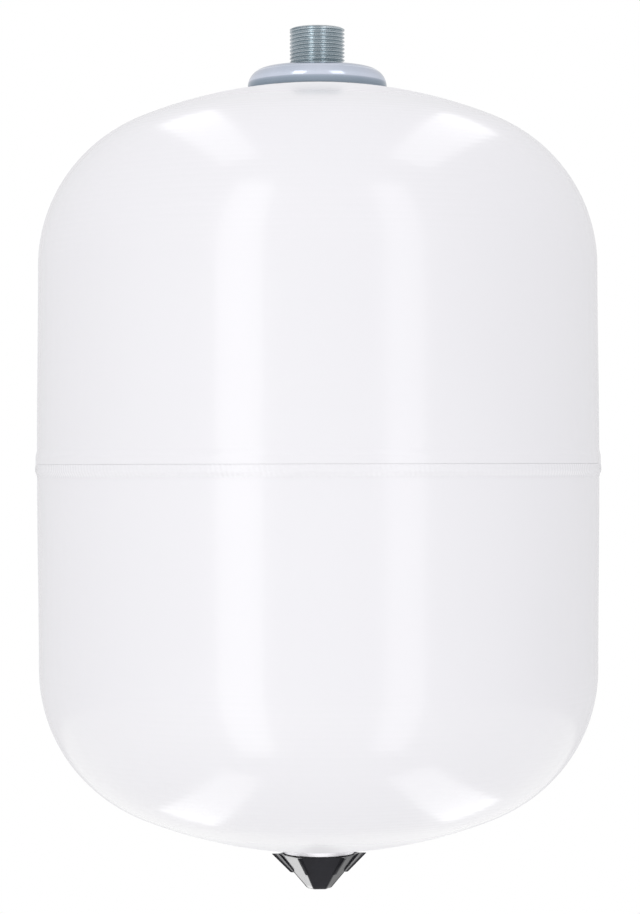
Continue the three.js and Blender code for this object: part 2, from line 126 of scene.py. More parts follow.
def new_piece(name, vertices, faces, material, body, slot, *nodes, sharp=35):
    """A mesh from millimetre vertices that rides on a body and stands for CAD nodes."""
    mesh = bpy.data.meshes.new(name)
    mesh.from_pydata([Vector(v) * MM for v in vertices], [], faces)
    mesh.validate()
    editable = bmesh.new()
    editable.from_mesh(mesh)
    bmesh.ops.recalc_face_normals(editable, faces=editable.faces)
    editable.to_mesh(mesh)
    editable.free()
    mesh.shade_smooth()
    mesh.set_sharp_from_angle(angle=math.radians(sharp))
    mesh.materials.append(material)
    piece = bpy.data.objects.new(name, mesh)
    bpy.context.scene.collection.objects.link(piece)
    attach(piece, body)
    if nodes:
        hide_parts(*nodes)
    return piece


def eased(t):
    """0 to 1 with a slow start and a slow end."""
    return t * t * (3 - 2 * t)


def arc(centre_radius, centre_z, radius, start, end, steps):
    """Points of an arc in the half section, both ends included, with angles from the outward direction."""
    return [
        (
            centre_radius + radius * math.cos(start + (end - start) * i / steps),
            centre_z + radius * math.sin(start + (end - start) * i / steps),
        )
        for i in range(steps + 1)
    ]


def softened(corners, radius, steps=3):
    """A half section with each corner cut back by up to radius and rounded. On-axis points stay."""
    rounded = []
    count = len(corners)
    for i, corner in enumerate(corners):
        here = Vector(corner)
        before = Vector(corners[i - 1]) - here
        after = Vector(corners[(i + 1) % count]) - here
        cut = min(radius, before.length * 0.4, after.length * 0.4)
        if corner[0] < 1e-6 or cut < 1e-4 or abs(before.angle(after) - math.pi) < 0.02:
            rounded.append(tuple(here))
            continue
        a = here + before.normalized() * cut
        b = here + after.normalized() * cut
        for k in range(steps + 1):
            t = k / steps
            rounded.append(tuple(a * (1 - t) ** 2 + here * 2 * t * (1 - t) + b * t**2))
    return rounded


def turned(section, sides, shift=None):
    """Vertices and faces of a closed half section turned about Z. shift(angle, r, z) gives a moved (r, z)."""
    vertices = []
    rings = []
    for r, z in section:
        if r < 1e-6:
            rings.append([len(vertices)] * sides)
            vertices.append((0, 0, z))
            continue
        rings.append(range(len(vertices), len(vertices) + sides))
        for k in range(sides):
            angle = TAU * k / sides
            radius, height = shift(angle, r, z) if shift else (r, z)
            vertices.append((radius * math.cos(angle), radius * math.sin(angle), height))
    faces = []
    for a, b in zip(rings, rings[1:] + rings[:1]):
        for k in range(sides):
            n = (k + 1) % sides
            corners = list(dict.fromkeys((a[k], a[n], b[n], b[k])))
            if len(corners) > 2:
                faces.append(corners)
    return vertices, faces


def turned_piece(name, corners, sides, material, body, slot, soften=0.2, shift=None, sharp=35):
    """A turned piece that stands for the CAD node of the same name."""
    section = softened(corners, soften) if soften else corners
    vertices, faces = turned(section, sides, shift)
    return new_piece(name + "_finished", vertices, faces, material, body, slot, name, sharp=sharp)


# ---- materials ----------------------------------------------------------------------------------


DULL_WITHIN, GLOSSY_BEYOND = 45, 85  # distances from the axis between which the white coat turns glossy


def node_material(name):
    """A material with its node tree, its shader and the place in the object."""
    material = bpy.data.materials.new(name)
    material.use_nodes = True
    tree = material.node_tree
    shader = tree.nodes["Principled BSDF"]
    place = tree.nodes.new("ShaderNodeTexCoord")
    return material, tree, shader, place.outputs["Object"]


def noise_node(tree, place, scale, detail=3, roughness=0.5):
    """Noise with scale cells to the metre."""
    node = tree.nodes.new("ShaderNodeTexNoise")
    node.inputs["Scale"].default_value = scale
    node.inputs["Detail"].default_value = detail
    node.inputs["Roughness"].default_value = roughness
    tree.links.new(place, node.inputs["Vector"])
    return node.outputs["Fac"]


def stretched(tree, place, scale):
    """The place scaled by a different amount along each axis, for brushed or turned marks."""
    node = tree.nodes.new("ShaderNodeMapping")
    node.inputs["Scale"].default_value = scale
    tree.links.new(place, node.inputs["Vector"])
    return node.outputs["Vector"]


def map_range(tree, value, start, end, low=0, high=1, interpolation="LINEAR"):
    """A value mapped from start..end to low..high."""
    node = tree.nodes.new("ShaderNodeMapRange")
    node.interpolation_type = interpolation
    for name, number in (("From Min", start), ("From Max", end), ("To Min", low), ("To Max", high)):
        node.inputs[name].default_value = number
    tree.links.new(value, node.inputs["Value"])
    return node.outputs["Result"]


def maths(tree, operation, a, b):
    """The result of an operation on two terms, each a number or a socket."""
    node = tree.nodes.new("ShaderNodeMath")
    node.operation = operation
    for term, socket in zip((a, b), node.inputs):
        if isinstance(term, (int, float)):
            socket.default_value = term
        else:
            tree.links.new(term, socket)
    return node.outputs["Value"]


def vector_maths(tree, operation, vector, other=(0, 0, 0), output="Vector"):
    """The result of an operation on a vector socket and a constant vector."""
    node = tree.nodes.new("ShaderNodeVectorMath")
    node.operation = operation
    tree.links.new(vector, node.inputs[0])
    node.inputs[1].default_value = other
    return node.outputs[output]


def ramp(tree, value, stops):
    """A colour ramp. stops are (position, colour), and a number stands for a grey."""
    node = tree.nodes.new("ShaderNodeValToRGB")
    elements = node.color_ramp.elements
    while len(elements) < len(stops):
        elements.new(0.5)
    for element, (position, colour) in zip(elements, stops):
        element.position = position
        grey = isinstance(colour, (int, float))
        element.color = (colour,) * 3 + (1,) if grey else (*colour, 1)
    tree.links.new(value, node.inputs["Fac"])
    return node.outputs["Color"]


def bump(tree, shader, layers):
    """Stacks bump layers of (height, strength, distance in metres) on a shader's normal."""
    previous = None
    for height, strength, distance in layers:
        node = tree.nodes.new("ShaderNodeBump")
        node.inputs["Strength"].default_value = strength
        node.inputs["Distance"].default_value = distance
        tree.links.new(height, node.inputs["Height"])
        if previous:
            tree.links.new(previous, node.inputs["Normal"])
        previous = node.outputs["Normal"]
    tree.links.new(previous, shader.inputs["Normal"])
    return previous


def blend_colours(tree, operation, a, b):
    """Two colour sockets blended in full."""
    node = tree.nodes.new("ShaderNodeMix")
    node.data_type = "RGBA"
    node.blend_type = operation
    node.inputs["Factor"].default_value = 1
    tree.links.new(a, node.inputs["A"])
    tree.links.new(b, node.inputs["B"])
    return node.outputs["Result"]


def powder_coat():
    """Glossy white powder coat with a fine orange peel, duller round the flange and the boss."""
    material, tree, shader, place = node_material("white_powder_coat")
    tint = noise_node(tree, place, 7, 2)
    colour = ramp(tree, tint, [(0.3, (0.80, 0.795, 0.815)), (0.7, (0.815, 0.81, 0.83))])
    tree.links.new(colour, shader.inputs["Base Color"])
    across = vector_maths(tree, "MULTIPLY", place, (1, 1, 0))
    from_axis = vector_maths(tree, "LENGTH", across, output="Value")
    dullness = map_range(tree, from_axis, DULL_WITHIN * MM, GLOSSY_BEYOND * MM, 0.55, 0.12)
    cloud = ramp(tree, noise_node(tree, place, 40, 3), [(0.3, 0.2), (0.7, 0.26)])
    tree.links.new(maths(tree, "MAXIMUM", cloud, dullness), shader.inputs["Roughness"])
    shader.inputs["Coat Weight"].default_value = 1
    tree.links.new(dullness, shader.inputs["Coat Roughness"])
    peel = noise_node(tree, place, 420, 2)
    wave = noise_node(tree, place, 60, 2)
    normal = bump(tree, shader, [(wave, 0.08, 0.0004), (peel, 0.1, 0.00006)])
    tree.links.new(normal, shader.inputs["Coat Normal"])
    return material


def zinc_plate(name, dark, middle, light, low_gloss, high_gloss, painted_shade=None):
    """Bright zinc with a blue passivation and small scuffs. An optional last argument (low, high, stops by
    height) multiplies painted shade and a painted highlight band into the colour.
    """
    material, tree, shader, place = node_material(name)
    shader.inputs["Metallic"].default_value = 1
    patch = noise_node(tree, place, 55, 4)
    colour = ramp(tree, patch, [(0.3, dark), (0.55, middle), (0.8, light)])
    # painted shade: a colour by height darkens the skirt and lights a band round the edge
    if painted_shade:
        low, high, stops = painted_shade
        split = tree.nodes.new("ShaderNodeSeparateXYZ")
        tree.links.new(place, split.inputs["Vector"])
        height = map_range(tree, split.outputs["Z"], low * MM, high * MM)
        colour = blend_colours(tree, "MULTIPLY", colour, ramp(tree, height, stops))
    tree.links.new(colour, shader.inputs["Base Color"])
    scuff = noise_node(tree, place, 260, 5, 0.7)
    tree.links.new(ramp(tree, scuff, [(0.35, low_gloss), (0.75, high_gloss)]), shader.inputs["Roughness"])
    fine = noise_node(tree, stretched(tree, place, (1, 1, 9)), 900, 2)
    bump(tree, shader, [(patch, 0.1, 0.0003), (fine, 0.07, 0.00003)])
    return material


def machined(name, dark, light, low_gloss, high_gloss):
    """Turned metal: fine marks round the axis and a little tarnish."""
    material, tree, shader, place = node_material(name)
    shader.inputs["Metallic"].default_value = 1
    tarnish = noise_node(tree, place, 180, 4)
    tree.links.new(ramp(tree, tarnish, [(0.3, dark), (0.7, light)]), shader.inputs["Base Color"])
    marks = noise_node(tree, stretched(tree, place, (60, 60, 5200)), 1, 1)
    tree.links.new(ramp(tree, marks, [(0.3, low_gloss), (0.7, high_gloss)]), shader.inputs["Roughness"])
    bump(tree, shader, [(marks, 0.15, 0.00002), (tarnish, 0.1, 0.00005)])
    return material


def moulded(name, dark, light, low_gloss, high_gloss, grain, shine=0.5):
    """Moulded plastic or rubber with a fine grain."""
    material, tree, shader, place = node_material(name)
    shader.inputs["Specular IOR Level"].default_value = shine
    cloud = noise_node(tree, place, 120, 3)
    tree.links.new(ramp(tree, cloud, [(0.3, dark), (0.7, light)]), shader.inputs["Base Color"])
    tree.links.new(ramp(tree, cloud, [(0.3, low_gloss), (0.7, high_gloss)]), shader.inputs["Roughness"])
    fine = noise_node(tree, place, 1800, 2)
    flow = noise_node(tree, place, 150, 2)
    bump(tree, shader, [(flow, 0.08, 0.0002), (fine, grain, 0.00003)])
    return material


PAINT = powder_coat()
FLANGE_PAINTED_SHADE = [  # painted shade and highlight on the flange's zinc by height, from its foot at 0 to its top at 1: a darker blue skirt and a light band where the edge turns, in place of reflections
    (0, (0.4, 0.452, 0.462)),
    (0.18, (0.5, 0.552, 0.572)),
    (0.25, (0.65, 0.68, 0.7)),
    (0.29, 1),
    (0.37, 1),
    (0.5, 0.9),
    (1, 0.8),
]
ZINC = zinc_plate(
    "blue_zinc_plate",
    (0.6, 0.66, 0.76),
    (0.66, 0.71, 0.81),
    (0.72, 0.76, 0.86),
    0.12,
    0.22,
    (FLANGE_FOOT, FLANGE_TOP, FLANGE_PAINTED_SHADE),
)
ZINC_THREAD = zinc_plate(
    "dull_zinc_thread", (0.39, 0.45, 0.48), (0.46, 0.52, 0.55), (0.53, 0.58, 0.61), 0.2, 0.34
)
STEEL = machined("plain_steel", (0.28, 0.28, 0.29), (0.45, 0.45, 0.46), 0.35, 0.5)
BRASS = machined("valve_brass", (0.58, 0.42, 0.17), (0.76, 0.58, 0.27), 0.2, 0.34)
SPRING = machined("spring_steel", (0.5, 0.51, 0.53), (0.66, 0.67, 0.69), 0.2, 0.3)
BUTYL = moulded("butyl_rubber", (0.018, 0.018, 0.02), (0.035, 0.035, 0.037), 0.55, 0.75, 0.4)
SEAL = moulded("seal_rubber", (0.025, 0.022, 0.02), (0.045, 0.04, 0.035), 0.5, 0.65, 0.3)
CUP_RUBBER = moulded("red_cup_rubber", (0.27, 0.03, 0.02), (0.38, 0.05, 0.035), 0.5, 0.65, 0.2)
CAP_PLASTIC = moulded("matt_black_plastic", (0.018, 0.018, 0.02), (0.03, 0.03, 0.032), 0.4, 0.52, 0.25)
COVER_PLASTIC = moulded(
    "gloss_black_plastic", (0.007, 0.007, 0.009), (0.012, 0.012, 0.015), 0.1, 0.17, 0.04, shine=0.2
)


# ---- half shells and weld -----------------------------------------------------------------------


def dished_end(inset, hole_radius):
    """Half section of the dished end above the seam plane, from the straight wall to its hole."""
    crown = CROWN_RADIUS - inset
    knuckle = arc(KNUCKLE_CENTRE, KNUCKLE_HEIGHT, KNUCKLE_RADIUS - inset, 0, KNUCKLE_END, 28)
    hole = math.acos(hole_radius / crown)
    return knuckle + arc(0, CROWN_CENTRE, crown, KNUCKLE_END, hole, 18)[1:]


def straight_wall(start, end, inset, steps):
    """Points between two (radius, height) ends, easing from one radius to the other."""
    points = []
    for i in range(steps):
        t = i / steps
        r = start[0] + (end[0] - start[0]) * eased(t)
        points.append((r - inset, start[1] + (end[1] - start[1]) * t))
    return points


def upper_shell():
    bell_top, bell_run = 5.5, 3.5
    rim = RIM_Z - SEAM_Z

    def wall(inset):
        bell = [(BELL_RADIUS - inset, rim), (BELL_RADIUS - inset, bell_top - 1)]
        step = straight_wall((BELL_RADIUS, bell_top - 0.6), (SEAM_RADIUS, bell_top + bell_run), inset, 8)
        body = straight_wall((SEAM_RADIUS, bell_top + bell_run), (TANGENT_RADIUS, KNUCKLE_HEIGHT), inset, 10)
        return bell + step + body + dished_end(inset, NECK_RADIUS + 0.3)

    section = wall(0) + wall(WALL)[::-1]
    section = [(r, SEAM_Z + z) for r, z in section]
    turned_piece("upper_shell", section, FINE, PAINT, "vessel", "shell_paint", 0.15)


def lower_shell():
    tongue_radius = BELL_RADIUS - WALL - 0.3
    tongue_end = SEAM_Z - highest("lower_shell")

    def wall(inset):
        tongue = [(tongue_radius - inset, tongue_end), (tongue_radius - inset, 1)]
        step = straight_wall((tongue_radius, 1.2), (SEAM_RADIUS, 5), inset, 6)
        body = straight_wall((SEAM_RADIUS, 5), (TANGENT_RADIUS, KNUCKLE_HEIGHT), inset, 10)
        return tongue + step + body + dished_end(inset, BOSS_RADIUS + 0.3)

    section = wall(0) + wall(WALL)[::-1]
    section = [(r, SEAM_Z - z) for r, z in section]
    turned_piece("lower_shell", section, FINE, PAINT, "vessel", "shell_paint", 0.15)


def girth_weld():
    """A machine-laid bead under the bell's rim, with its faint ripples under the paint."""
    ripple_count, ripple_depth, drift_depth = 360, 0.05, 0.1
    lead = 0.6  # of a ripple at the top over one at the foot, in radians a millimetre
    sides = 4 * ripple_count
    top = RIM_Z - 0.05
    foot = lowest("girth_weld")
    bulge = radius_of("girth_weld") - SEAM_RADIUS
    middle = (top + foot) / 2 + 0.3
    outside = [(SEAM_RADIUS + 0.02, foot)]
    steps = 8
    for share in (step / steps for step in range(1, steps + 1)):
        rise = 0.98 * bulge * eased(share)
        outside.append((SEAM_RADIUS + 0.02 + rise, foot + (middle - foot) * share))
    upper = ((0.95, 1.2), (0.85, 0.5), (0.7, 0))
    outside += [(SEAM_RADIUS + share * bulge, top - drop) for share, drop in upper]
    inside = [(SEAM_RADIUS - 0.4, top), (SEAM_RADIUS - 0.4, SEAM_Z + 0.2), (SEAM_RADIUS - 0.05, foot)]

    def ripple(angle, r, z):
        if r <= SEAM_RADIUS + 0.03:
            return r, z
        wave = math.cos(angle * ripple_count + lead * (z - middle))
        drift = noise.noise(Vector((math.cos(angle) * 4, math.sin(angle) * 4, 0)))
        return r + ripple_depth * wave + drift_depth * drift - 0.12, z

    turned_piece("girth_weld", outside + inside, sides, PAINT, "vessel", "shell_paint", 0, ripple, 60)


upper_shell()
lower_shell()
girth_weld()


# ---- mouth, flange and nipple -------------------------------------------------------------------


def neck_ring():
    low, high = lowest("neck_ring"), highest("neck_ring")
    bore, lip_radius = 19, radius_of("neck_ring")
    lip_foot = high - 1.8
    corners = [
        (bore, low),
        (NECK_RADIUS, low),
        (NECK_RADIUS, lip_foot),
        (lip_radius, lip_foot),
        (lip_radius, high),
        (bore, high),
    ]
    turned_piece("neck_ring", corners, MEDIUM, STEEL, "vessel", "plain_steel", 0.4)


def fillet_weld(name, inner, material, slot, sides, ripples, hanging=False):
    """A three-cornered fillet with a slightly hollow, rippled face. A hanging one is widest at its top."""
    low, high = lowest(name), highest(name)
    leg = high - low
    steps, hollow, ripple_depth = 8, 1.25, 0.07
    shares = [i / steps for i in range(steps + 1)]
    face = [(inner + leg * (1 - t) ** hollow, leg * t**hollow) for t in shares]
    foot, side = (high, -1) if hanging else (low, 1)

    def ripple(angle, r, z):
        reach = (z - foot) * side
        if r <= inner + 0.02 or reach <= 0.02:
            return r, z
        push = 4 * ripple_depth * math.cos(angle * ripples) * (r - inner) * reach / leg**2
        return r + push, z + push * side

    corners = [(r, foot + side * z) for r, z in [(inner, 0)] + face]
    turned_piece(name, corners, sides, material, "vessel", slot, 0, ripple, 60)


def flange_cap():
    """The pressed flange, with a crowned top, a round edge and a skirt rolled in at the foot."""
    edge = 9
    corner = 0.8
    crimp_radius = 26.8
    crimp = FLANGE_FOOT + 0.7
    turn_in = 2
    foot_radius = FLANGE_RADIUS - corner
    foot = SEAM_Z + CROWN_CENTRE + math.sqrt(CROWN_RADIUS**2 - foot_radius**2) + SKIRT_GAP
    skirt_inside = FLANGE_RADIUS - FLANGE_SHEET
    edge_radius = FLANGE_RADIUS - edge
    crown = FLANGE_CROWN_RADIUS
    rise = math.sqrt((crown - edge) ** 2 - edge_radius**2)
    edge_centre = (edge_radius, FLANGE_CROWN_CENTRE + rise)
    tangent = math.atan2(rise, edge_radius)
    inner_crown = crown - FLANGE_SHEET
    outline = (
        [(crimp_radius, crimp), (foot_radius, foot)]
        + arc(foot_radius, foot + corner, corner, -math.pi / 2, 0, 6)[1:]
        + arc(*edge_centre, edge, 0, tangent, 24)
        + arc(0, FLANGE_CROWN_CENTRE, crown, tangent, math.acos(FLANGE_HOLE / crown), 8)[1:]
        + arc(0, FLANGE_CROWN_CENTRE, inner_crown, math.acos(FLANGE_HOLE / inner_crown), tangent, 8)
        + arc(*edge_centre, edge - FLANGE_SHEET, tangent, 0.25, 14)[1:]
        + [(skirt_inside, crimp + turn_in), (crimp_radius, crimp + turn_in)]
    )
    flange = turned_piece("flange_cap", outline, MEDIUM * 2, ZINC, "vessel", "zinc_plate", 0)
    flange.visible_glossy = flange.visible_diffuse = flange.visible_shadow = False


def thread_profile(x):
    """Share of a thread's depth, from 0 on the crest to 1 in the root, each with a flat of its own."""
    flat = 0.12
    return eased(min(1, max(0, (x - flat) / (1 - 2 * flat))))


def threaded(outer, depth, pitch, start, end):
    """A shift for turned(): cuts a right-hand thread between start and end, fading in at both."""
    run_in, run_out = 0.5, 0.35  # in pitches

    def cut(angle, r, z):
        if r < outer - 0.01 or z < start or z > end:
            return r, z
        fade = min(1, (z - start) / (run_in * pitch), (end - z) / (run_out * pitch))
        turn = z / pitch - angle / TAU
        return r - depth * max(0, fade) * thread_profile(abs(2 * (turn % 1) - 1)), z

    return cut


def connection_nipple():
    """The nipple, with a real helical G 3/4 thread up to a chamfered end."""
    low, high = lowest("connection_nipple"), highest("connection_nipple")
    shoulder = NIPPLE_SHOULDER
    shoulder_top = low + 2.4
    chamfer = 1.2
    thread_start = FLANGE_TOP + 0.4
    thread_end = high - 0.5 * chamfer
    rows = 12 * math.ceil((thread_end - thread_start) / THREAD_PITCH)
    barrel = [
        (THREAD_RADIUS, thread_start + (thread_end - thread_start) * i / rows) for i in range(rows + 1)
    ]
    outline = (
        [(NIPPLE_BORE, low), (shoulder - 0.3, low), (shoulder, low + 0.3), (shoulder, shoulder_top)]
        + [(THREAD_RADIUS, shoulder_top)]
        + barrel
        + [(THREAD_RADIUS - THREAD_DEPTH, high), (NIPPLE_BORE + 0.5, high), (NIPPLE_BORE, high - 0.5)]
    )
    cut = threaded(THREAD_RADIUS, THREAD_DEPTH, THREAD_PITCH, thread_start, thread_end)
    turned_piece("connection_nipple", outline, MEDIUM, ZINC_THREAD, "vessel", "zinc_plate", 0, cut, 50)


# ---- bladder ------------------------------------------------------------------------------------


def bladder():
    """The moulded bag, in one fixed shape. The real bag shortens towards its lip as the water leaves it."""
    wall, steps = 1.9, 32
    lip_top, lip_foot = highest("bladder"), highest("neck_ring") + 0.3
    lip_radius = 28.1
    lip_fall = 1.44  # of the lip's top towards its edge, under the flange's crown
    neck = 18.7
    bag_radius = radius_of("bladder")
    neck_foot = SEAM_Z + 172
    shoulder = SEAM_Z + 105
    foot_centre = lowest("bladder") + bag_radius

    def bag(inset):
        points = []
        for i in range(steps + 1):
            angle = i / steps * math.pi
            share = (1 - math.cos(angle)) / 2
            z = neck_foot + (shoulder - neck_foot) * i / steps
            points.append((neck + (bag_radius - neck) * share - inset, z - inset * math.sin(angle)))
        foot = arc(0, foot_centre, bag_radius - inset, 0, -math.pi / 2, steps)
        return points + foot[:-1] + [(0, foot[-1][1])]

    outline = (
        [(lip_radius, lip_foot), (neck, lip_foot)]
        + bag(0)
        + bag(wall)[::-1]
        + [(neck - wall, lip_top), (lip_radius - 1.5, lip_top - lip_fall), (lip_radius, lip_foot + 0.5)]
    )
    vertices, faces = turned(outline, 96)
    piece = new_piece(
        "bladder_finished", vertices, faces, BUTYL, "vessel", "bladder_rubber", "bladder", sharp=50
    )
    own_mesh(piece)


neck_ring()
fillet_weld("neck_weld", NECK_RADIUS + 0.3, STEEL, "plain_steel", 240, 60)
flange_cap()
connection_nipple()
fillet_weld("nipple_weld", NIPPLE_SHOULDER + 0.3, ZINC, "zinc_plate", 240, 48, hanging=True)
bladder()


# ---- valve --------------------------------------------------------------------------------------


def valve_boss():
    """The boss, stepped inside for the stem's collar and outside for the cover's sleeve."""
    low, high = lowest("valve_boss"), highest("valve_boss")
    bore, wide_bore, chamfer = 4.6, 7, 0.5
    flange_foot, shoulder, step = high - 3, high - 5.8, low + 4.3
    outline = [
        (bore, high),
        (BOSS_FLANGE, high),
        (BOSS_FLANGE, flange_foot),
        (BOSS_RADIUS, flange_foot),
        (BOSS_RADIUS, step),
        (BOSS_TIP_RADIUS, step),
        (BOSS_TIP_RADIUS, low + chamfer),
        (BOSS_TIP_RADIUS - chamfer, low),
        (wide_bore, low),
        (wide_bore, shoulder),
        (bore, shoulder),
    ]
    turned_piece("valve_boss", outline, MEDIUM, PAINT, "vessel", "shell_paint", 0.2)


def valve_stem():
    """The brass stem, with a hexagonal collar and a helical valve thread."""
    low, high = lowest("valve_stem"), highest("valve_stem")
    shank, collar, bore, wide_bore = 4.3, 6.4, 2.3, 2.9
    collar_top, collar_foot = high - 9.2, high - 11
    rows = 10 * math.ceil((collar_foot - low) / STEM_PITCH)
    barrel = [(STEM_THREAD, collar_foot + (low - collar_foot) * i / rows) for i in range(rows + 1)]
    outline = (
        [(bore, high), (shank, high), (shank, collar_top)]
        + [(collar - 0.3, collar_top), (collar, collar_top - 0.25)]
        + [(collar, collar_foot + 0.25), (collar - 0.3, collar_foot)]
        + barrel[:-1]
        + [(STEM_THREAD - 0.45, low), (wide_bore, low), (wide_bore, high - 10.5), (bore, high - 9.3)]
    )
    cut = threaded(STEM_THREAD, 0.42, STEM_PITCH, low + 0.1, collar_foot - 0.6)

    def shape(angle, r, z):
        if r > shank + 0.5:
            across = math.cos(math.pi / 6) / math.cos(angle % (math.pi / 3) - math.pi / 6)
            return min(r, collar * across + 0.05), z
        return cut(angle, r, z) if z < collar_foot else (r, z)

    turned_piece("valve_stem", outline, 96, BRASS, "vessel", "valve_brass", 0, shape, 40)


def plain_ring(node, inner, outer, material, body, slot, sides=SMALL // 2, soften=0.1):
    """A ring of square section with softened edges, or a disc if it has no inner radius."""
    low, high = lowest(node), highest(node)
    outline = [(inner, low), (outer, low), (outer, high), (inner, high)]
    turned_piece(node, outline, sides, material, body, slot, soften)


def core_swivel():
    """The core's outer end, with two flats for the valve key."""
    low, high = lowest("core_swivel"), highest("core_swivel")
    bore, outer, chamfer, half_flats = 1.25, 2.6, 0.3, 1.9
    flats_top = low + 0.9
    thread_depth, pitch = 0.25, 0.706
    rows = 24
    barrel = [(outer, low + (high - low) * i / rows) for i in range(rows + 1)]
    foot, top = [(bore, low), (outer - chamfer, low)], [(outer - chamfer, high), (bore, high)]
    outline = foot + barrel[1:-1] + top
    cut = threaded(outer, thread_depth, pitch, flats_top, high)

    def shape(angle, r, z):
        if z < flats_top and r > half_flats:
            return min(r, half_flats / max(0.4, abs(math.cos(angle)))), z
        return cut(angle, r, z)

    turned_piece("core_swivel", outline, SMALL, BRASS, "vessel", "valve_brass", 0, shape, 40)


def core_barrel():
    """The core's body, with a shoulder at its top that the spring pushes against."""
    low, high = lowest("core_barrel"), highest("core_barrel")
    bore, hole, outer = 1.25, 0.75, 2
    outline = [(bore, low), (outer, low), (outer, high), (hole, high), (hole, high - 1.4), (bore, high - 1.4)]
    turned_piece("core_barrel", outline, SMALL // 2, BRASS, "vessel", "valve_brass", 0.12)


def core_pin():
    """The pin, with its spring seat and a head at the inner end."""
    low, high = lowest("core_pin"), highest("core_pin")
    pin, seat = 0.45, 0.95  # the pin, and its spring seat and head
    seat_top = lowest("core_spring") - 0.3
    outline = [
        (0, low),
        (pin, low),
        (pin, seat_top - 0.5),
        (seat, seat_top - 0.5),
        (seat, seat_top),
        (pin, seat_top),
        (pin, high - 0.6),
        (seat, high - 0.6),
        (seat, high),
        (0, high),
    ]
    turned_piece("core_pin", outline, SMALL // 2, BRASS, "core_pin", "valve_brass", 0.1)


def core_spring():
    """A closed-end coil in one fixed shape. The real spring shortens towards the barrel's shoulder as the pin
    is pressed.
    """
    low, high = lowest("core_spring"), highest("core_spring")
    radius, wire, turns = 0.9, 0.1, 9
    around, per_turn = 10, 28
    steps = turns * per_turn
    vertices = []
    for i in range(steps + 1):
        t = i / steps
        angle = TAU * turns * t
        z = low + wire + (high - low - 2 * wire) * t
        for k in range(around):
            bend = TAU * k / around
            r = radius + wire * math.cos(bend)
            vertices.append((r * math.cos(angle), r * math.sin(angle), z + wire * math.sin(bend)))
    faces = [tuple(range(around)), tuple(range(steps * around, (steps + 1) * around))]
    for i in range(steps):
        for k in range(around):
            a, b = i * around + k, i * around + (k + 1) % around
            faces.append((a, b, b + around, a + around))
    piece = new_piece(
        "core_spring_finished", vertices, faces, SPRING, "vessel", "spring_steel", "core_spring"
    )
    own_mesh(piece)


valve_boss()
fillet_weld("boss_weld", BOSS_FLANGE + 0.3, STEEL, "plain_steel", 200, 40)
plain_ring("stem_gasket", 4.6, 6.7, SEAL, "vessel", "seal_rubber", SMALL, 0.15)
valve_stem()
core_swivel()
core_barrel()
plain_ring("core_barrel_seal", 2.3, 2.6, SEAL, "vessel", "seal_rubber")
core_spring()
core_pin()
plain_ring("core_cup_seal", 0.75, 1.5, CUP_RUBBER, "core_pin", "cup_rubber")
plain_ring("core_cup", 0.75, 1.8, BRASS, "core_pin", "valve_brass")


# ---- dust cap and cover -------------------------------------------------------------------------


def dust_cap():
    """A small screwed cap with grip flutes round its side."""
    low, high = lowest("dust_cap"), highest("dust_cap")
    radius = radius_of("dust_cap")
    bore = STEM_THREAD + 0.3
    flutes = 24
    flute_depth = 0.28
    outline = (
        [(0, low), (radius - 1.1, low)]
        + arc(radius - 0.9, low + 0.9, 0.9, -math.pi / 2, 0, 6)
        + [(radius, low + 2), (radius, high - 1.6), (radius, high - 1.3), (radius, high - 0.2)]
        + [(radius - 0.2, high), (bore + 0.2, high), (bore, high - 0.2), (bore, low + 1), (0, low + 1)]
    )

    def flute(angle, r, z):
        if r < radius - 0.95 or not low + 0.3 < z < high - 1.4:
            return r, z
        return r - flute_depth * (0.5 - 0.5 * math.cos(angle * flutes)) ** 2, z

    turned_piece("dust_cap", outline, 8 * flutes, CAP_PLASTIC, "dust_cap", "cap_plastic", 0, flute, 40)


